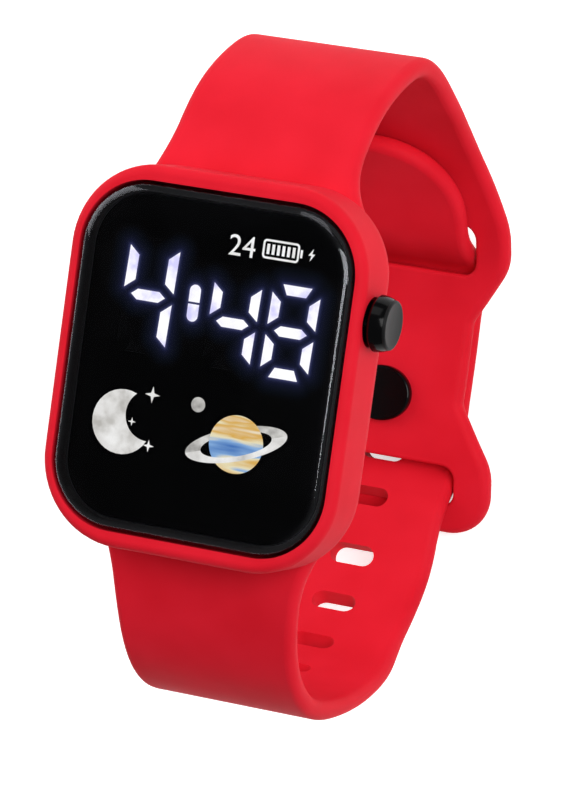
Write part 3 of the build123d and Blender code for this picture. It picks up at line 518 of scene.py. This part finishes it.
def segment_outlines(width, height, stroke):
    """Outlines of a digit's seven bars round its centre, as the film's windows have them."""
    side = width / 2
    top = height / 2
    inside = side - stroke
    slant = stroke * BAR_SLANT_SHARE
    outer_top, outer_low, inner_low, inner_top = [stroke * share for share in POST_SHARES]
    tip, shoulder = [side - stroke * share for share in MIDDLE_SHARES]
    half = stroke / 2
    bar = [(inside, top), (side - slant, top - stroke), (slant - side, top - stroke), (-inside, top)]
    post = [(side, top - outer_top), (side, outer_low), (inside, inner_low), (inside, top - inner_top)]
    middle = [
        (tip, 0), (shoulder, -half), (-shoulder, -half),
        (-tip, 0), (-shoulder, half), (shoulder, half),
    ]
    bars = {"middle": middle}
    for level, up in (("upper", 1), ("lower", -1)):
        bars["top" if up == 1 else "bottom"] = [(x, up * y) for x, y in bar]
        for hand, right in (("right", 1), ("left", -1)):
            bars[f"{level}_{hand}"] = [(right * x, up * y) for x, y in post]
    return {name: [(x + y * DIGIT_LEAN_SHARE, y) for x, y in points] for name, points in bars.items()}


def colon_outlines():
    """The two halves of the colon's capsule."""
    radius = COLON_WIDTH / 2
    straight = COLON_LENGTH / 2 - radius
    arc_steps = 10
    half = [(-radius, COLON_SPLIT / 2), (radius, COLON_SPLIT / 2)]
    for step in range(arc_steps + 1):
        angle = math.pi * step / arc_steps
        half.append((radius * math.cos(angle), straight + radius * math.sin(angle)))
    return [half, [(x, -y) for x, y in half]]


def distance_to(points, x, y):
    """Distance of a place from the edge of an outline, 0 inside it."""
    inside = False
    nearest = math.inf
    for (ax, ay), (bx, by) in zip(points, points[1:] + points[:1]):
        length_squared = (bx - ax) ** 2 + (by - ay) ** 2
        along = ((x - ax) * (bx - ax) + (y - ay) * (by - ay)) / length_squared
        along = min(1, max(0, along))
        nearest = min(nearest, math.hypot(x - ax - along * (bx - ax), y - ay - along * (by - ay)))
        if (ay > y) != (by > y) and x < ax + (y - ay) / (by - ay) * (bx - ax):
            inside = not inside
    return 0 if inside else nearest


def lit_windows(name, outlines, place, film_top, lit):
    """Lit plates in the film's windows."""
    plates = bmesh.new()
    faces = [face_of(plates, points) for points in outlines]
    bmesh.ops.inset_individual(plates, faces=faces, thickness=mm(WINDOW_EASE), use_even_offset=True)
    rims = [face for face in plates.faces if face not in faces]
    bmesh.ops.delete(plates, geom=rims, context="FACES")
    thicken(plates, plates.faces[:], LIT_DEPTH)
    finish_piece(name, plates, place, film_top + mm(PRINT_THICKNESS + PRINT_STEP), lit)


def display_glow(outlines, film_top, glow):
    """One thin sheet of painted glow over the film, brightest at the lit windows' edges."""
    low_x, high_x = spread([x for points in outlines for x, y in points])
    low_y, high_y = spread([y for points in outlines for x, y in points])
    columns = round((high_x - low_x) / GLOW_STEP)
    rows = round((high_y - low_y) / GLOW_STEP)
    halo = bmesh.new()
    fade = halo.verts.layers.float.new("glow")
    grid = []
    for row in range(rows + 1):
        y = low_y + (high_y - low_y) * row / rows
        line = []
        for column in range(columns + 1):
            x = low_x + (high_x - low_x) * column / columns
            away = min(distance_to(points, x, y) for points in outlines)
            vert = halo.verts.new((*mm((x, y)), 0))
            vert[fade] = max(0, 1 - away / GLOW_WIDTH)
            line.append(vert)
        grid.append(line)
    for lower, upper in zip(grid, grid[1:]):
        for i in range(columns):
            corners = (lower[i], lower[i + 1], upper[i + 1], upper[i])
            if max(corner[fade] for corner in corners) > 0:
                halo.faces.new(corners)
    loose = [vert for vert in halo.verts if not vert.link_faces]
    bmesh.ops.delete(halo, geom=loose, context="VERTS")
    thicken(halo, halo.faces[:], PRINT_THICKNESS)
    finish_piece("display_glow", halo, (0, 0), film_top + mm(PRINT_THICKNESS), glow)


def spread(values):
    """The lowest and highest of some lengths, with the glow's width beyond each."""
    return min(values) - GLOW_WIDTH, max(values) + GLOW_WIDTH


def time_display(film_top, lit, glow):
    """The lit digits and the colon, in the windows that the film leaves for them."""
    large = segment_outlines(**LARGE_DIGIT)
    small = segment_outlines(**SMALL_DIGIT)
    shown = {
        "hours_digit": ([large[bar] for bar in FOUR], HOURS_PLACE),
        "tens_digit": ([small[bar] for bar in FOUR], TENS_PLACE),
        "units_digit": ([small[bar] for bar in EIGHT], UNITS_PLACE),
        "colon": (colon_outlines(), COLON_PLACE),
    }
    everything = []
    for name, (outlines, place) in shown.items():
        lit_windows(name, outlines, place, film_top, lit)
        for points in outlines:
            everything.append([(x + place[0], y + place[1]) for x, y in points])
    # painted glow: an emitting sheet over the film round all lit windows, standing in for their light
    # spill
    display_glow(everything, film_top, glow)


def date_number(film_top, material):
    """The small number beside the charge gauge, from the plain built-in typeface."""
    curve = bpy.data.curves.new("date_number", "FONT")
    curve.body = DATE_TEXT
    curve.align_x = "CENTER"
    curve.size = 1
    text = bpy.data.objects.new("date_outline", curve)
    bpy.context.scene.collection.objects.link(text)
    bpy.context.view_layer.update()
    flat = bpy.data.meshes.new_from_object(text)
    bpy.data.objects.remove(text)
    bm = bmesh.new()
    bm.from_mesh(flat)
    bmesh.ops.remove_doubles(bm, verts=bm.verts, dist=DATE_WELD_METRES)
    low = min(v.co.y for v in bm.verts)
    tall = max(v.co.y for v in bm.verts) - low
    bmesh.ops.translate(bm, verts=bm.verts, vec=(0, -low, 0))
    bmesh.ops.scale(bm, verts=bm.verts, vec=Vector((1, 1, 1)) * mm(DATE_HEIGHT) / tall)
    thicken(bm, bm.faces[:], PRINT_THICKNESS)
    finish_piece("date_number", bm, DATE_PLACE, film_top + mm(PRINT_THICKNESS), material)


def rounded_outline(width, length, corner):
    """Outline points of a rounded rectangle round its centre."""
    arc_steps = 6
    points = []
    for turn, (x, y) in enumerate(((1, 1), (-1, 1), (-1, -1), (1, -1))):
        for step in range(arc_steps + 1):
            angle = math.pi / 2 * (turn + step / arc_steps)
            centre_x = x * (width / 2 - corner)
            centre_y = y * (length / 2 - corner)
            points.append((centre_x + corner * math.cos(angle), centre_y + corner * math.sin(angle)))
    return points


def rectangle(width, length, x=0, y=0):
    """Corners of a rectangle round a place."""
    half_x = width / 2
    half_y = length / 2
    return [(x + right * half_x, y + up * half_y) for right, up in ((-1, -1), (1, -1), (1, 1), (-1, 1))]


def flat_ring(bm, outer, inner):
    """A flat ring between two outlines that have the same count of points."""
    edges = []
    for points in (outer, inner):
        verts = [bm.verts.new((*mm(point), 0)) for point in points]
        edges += [bm.edges.new(pair) for pair in zip(verts, verts[1:] + verts[:1])]
    bmesh.ops.bridge_loops(bm, edges=edges)


def charge_gauge(film_top, material):
    """A battery symbol: an outline with a tip, and six bars inside it."""
    width, length = GAUGE_SIZE
    twice = 2 * GAUGE_LINE
    bm = bmesh.new()
    outer = rounded_outline(width, length, GAUGE_CORNER)
    inner = rounded_outline(width - twice, length - twice, GAUGE_CORNER - GAUGE_LINE)
    flat_ring(bm, outer, inner)
    face_of(bm, rectangle(*GAUGE_TIP, width / 2 + GAUGE_TIP[0]))
    for i in range(GAUGE_BARS):
        face_of(bm, rectangle(*GAUGE_BAR, (i - (GAUGE_BARS - 1) / 2) * GAUGE_BAR_PITCH))
    thicken(bm, bm.faces[:], PRINT_THICKNESS)
    finish_piece("charge_gauge", bm, GAUGE_PLACE, film_top + mm(PRINT_THICKNESS), material)


def charging_bolt(film_top, material):
    """The small bolt beside the charge gauge."""
    bm = bmesh.new()
    face_of(bm, BOLT_OUTLINE)
    thicken(bm, bm.faces[:], PRINT_THICKNESS)
    finish_piece("charging_bolt", bm, BOLT_PLACE, film_top + mm(PRINT_THICKNESS), material)


def crescent_moon(film_top, material):
    """A crescent between two arcs that meet at its horns."""
    arc_steps = 24
    horn = math.radians(MOON_HORN_DEGREES)
    horn_x = MOON_RADIUS * math.cos(horn)
    horn_y = MOON_RADIUS * math.sin(horn)
    outer = arc_points(0, MOON_RADIUS, horn, 2 * math.pi - horn, arc_steps)
    bite = math.hypot(MOON_BITE_X - horn_x, horn_y)
    start = math.atan2(-horn_y, horn_x - MOON_BITE_X)
    end = math.atan2(horn_y, horn_x - MOON_BITE_X) - 2 * math.pi
    inner = arc_points(MOON_BITE_X, bite, start, end, arc_steps)
    bm = bmesh.new()
    face_of(bm, outer + inner[1:-1])
    turn = Matrix.Rotation(math.radians(MOON_TURN_DEGREES), 3, "Z")
    bmesh.ops.rotate(bm, verts=bm.verts, matrix=turn)
    thicken(bm, bm.faces[:], PRINT_THICKNESS)
    finish_piece("crescent_moon", bm, MOON_PLACE, film_top + mm(PRINT_THICKNESS), material)


def arc_points(centre_x, radius, start, end, steps):
    """Points along an arc whose centre lies on the X axis, both ends with them."""
    turns = [start + (end - start) * step / steps for step in range(steps + 1)]
    return [(centre_x + radius * math.cos(turn), radius * math.sin(turn)) for turn in turns]


def small_stars(film_top, material):
    """Four-pointed stars round the moon."""
    bm = bmesh.new()
    for x, y, size in STAR_PLACES:
        points = []
        for i in range(2 * STAR_POINTS):
            reach = size if i % 2 == 0 else size * STAR_WAIST_SHARE
            angle = math.pi * i / STAR_POINTS
            points.append((x + reach * math.cos(angle), y + reach * math.sin(angle)))
        face_of(bm, points)
    thicken(bm, bm.faces[:], PRINT_THICKNESS)
    finish_piece("small_stars", bm, (0, 0), film_top + mm(PRINT_THICKNESS), material)


def disc_print(name, radius, place, top, material):
    """A round print with its top at a height."""
    bm = bmesh.new()
    bmesh.ops.create_circle(bm, cap_ends=True, radius=mm(radius), segments=DISC_STEPS)
    thicken(bm, bm.faces[:], PRINT_THICKNESS)
    finish_piece(name, bm, place, top, material)


def ring_print(name, front, top, material):
    """Half of the planet's ring: the back half lies under the ball, the front half over it."""
    bm = bmesh.new()
    for radius in (RING_OUTER, RING_INNER):
        bmesh.ops.create_circle(bm, radius=mm(radius), segments=RING_STEPS)
    bmesh.ops.bridge_loops(bm, edges=bm.edges[:])
    bmesh.ops.bisect_plane(
        bm, geom=bm.verts[:] + bm.edges[:] + bm.faces[:], plane_co=(0, 0, 0), plane_no=(0, 1, 0),
        clear_outer=front, clear_inner=not front,
    )
    bmesh.ops.scale(bm, verts=bm.verts, vec=(1, RING_FLATTEN, 1))
    tilt = Matrix.Rotation(math.radians(RING_TILT_DEGREES), 3, "Z")
    bmesh.ops.rotate(bm, verts=bm.verts, matrix=tilt)
    thicken(bm, bm.faces[:], PRINT_THICKNESS)
    finish_piece(name, bm, PLANET_PLACE, top, material)


def lit_pictures(film_top):
    """A moon with stars on the left, and a ringed planet with its moon on the right."""
    pale = lit_print("pale_lit_print", ((0.3, "#B9B6B0"), (0.5, "#DEDCD8"), (0.7, "#F2F1EE")), 2.2)
    moon_grey = lit_print("grey_lit_print", ((0.3, "#8E8C88"), (0.55, "#C9C7C2"), (0.75, "#E6E4E0")), 1.6)
    banded = lit_print(
        "banded_lit_print",
        ((0.32, "#3E6FB5"), (0.45, "#86AEDB"), (0.52, "#E9DFB8"), (0.6, "#D9A94E"), (0.7, "#EFE6CE")),
        3.2, (0.25, 1.6, 1),
    )
    crescent_moon(film_top, pale)
    small_stars(film_top, pale)
    layer = film_top + mm(PRINT_THICKNESS)
    step = mm(PRINT_STEP)
    ring_print("planet_ring_back", False, layer, moon_grey)
    disc_print("ringed_planet", PLANET_RADIUS, PLANET_PLACE, layer + step, banded)
    ring_print("planet_ring_front", True, layer + 2 * step, pale)
    disc_print("far_moon", FAR_MOON[2], FAR_MOON[:2], layer, moon_grey)


def dial():
    """Everything that glows under the glass."""
    film_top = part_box("mask_film")[1][2]
    lit = lit_print(
        "lit_segment", ((0.34, "#D2CFF8"), (0.46, "#F6F4FF"), (0.6, "#FFFFFF")), 2.6,
        level=SEGMENT_LEVEL,
    )
    symbols = lit_print("symbol_lit_print", ((0.3, "#E4E2DE"), (0.7, "#FFFFFF")), 1.5)
    time_display(film_top, lit, film_glow())
    date_number(film_top, symbols)
    charge_gauge(film_top, symbols)
    charging_bolt(film_top, symbols)
    lit_pictures(film_top)


# Room, light and camera

def paper_floor(height):
    """The pale floor under the watch, a stage piece."""
    bm = bmesh.new()
    bmesh.ops.create_grid(bm, x_segments=1, y_segments=1, size=mm(FLOOR_SIZE) / 2)
    bmesh.ops.translate(bm, verts=bm.verts, vec=(0, 0, height))
    mesh = bpy.data.meshes.new("paper_floor")
    bm.to_mesh(mesh)
    bm.free()
    mesh.materials.append(floor_paint())
    floor = bpy.data.objects.new("paper_floor", mesh)
    bpy.context.scene.collection.objects.link(floor)


def lights():
    """A key from the button's side, two weaker boxes from 12 and 9 o'clock, and an even room."""
    world = bpy.data.worlds.new("soft_room")
    bpy.context.scene.world = world
    world.use_nodes = True
    backdrop = world.node_tree.nodes["Background"]
    backdrop.inputs["Color"].default_value = colour("#FFFFFF")
    backdrop.inputs["Strength"].default_value = WORLD_STRENGTH
    for name, facts in LAMPS.items():
        data = bpy.data.lights.new(name, "AREA")
        data.shape = "SQUARE"
        data.size = mm(facts["size"])
        data.energy = facts["watts"]
        lamp = bpy.data.objects.new(name, data)
        place = Vector(mm(facts["place"]))
        lamp.location = place
        aim = Vector(mm(LAMP_AIM)) - place
        lamp.rotation_euler = aim.to_track_quat("-Z", "Y").to_euler()
        bpy.context.scene.collection.objects.link(lamp)


def camera():
    """The camera at the photograph's place."""
    data = bpy.data.cameras.new("photo_camera")
    data.lens = CAMERA_LENS
    data.sensor_fit = "AUTO"
    data.sensor_width = SENSOR_WIDTH
    data.clip_end = CAMERA_SEES_METRES
    eye = bpy.data.objects.new("photo_camera", data)
    eye.location = mm(CAMERA_PLACE)
    eye.rotation_euler = Euler([math.radians(turn) for turn in CAMERA_TURN_DEGREES], "XYZ")
    bpy.context.scene.collection.objects.link(eye)
    bpy.context.scene.camera = eye


def main():
    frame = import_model()
    cad_box = [list(corner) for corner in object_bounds()]
    dress_nodes(frame["nodes"])
    dial()
    paper_floor(cad_box[0][2])
    lights()
    camera()
    bpy.context.scene.view_settings.view_transform = "Standard"


main()
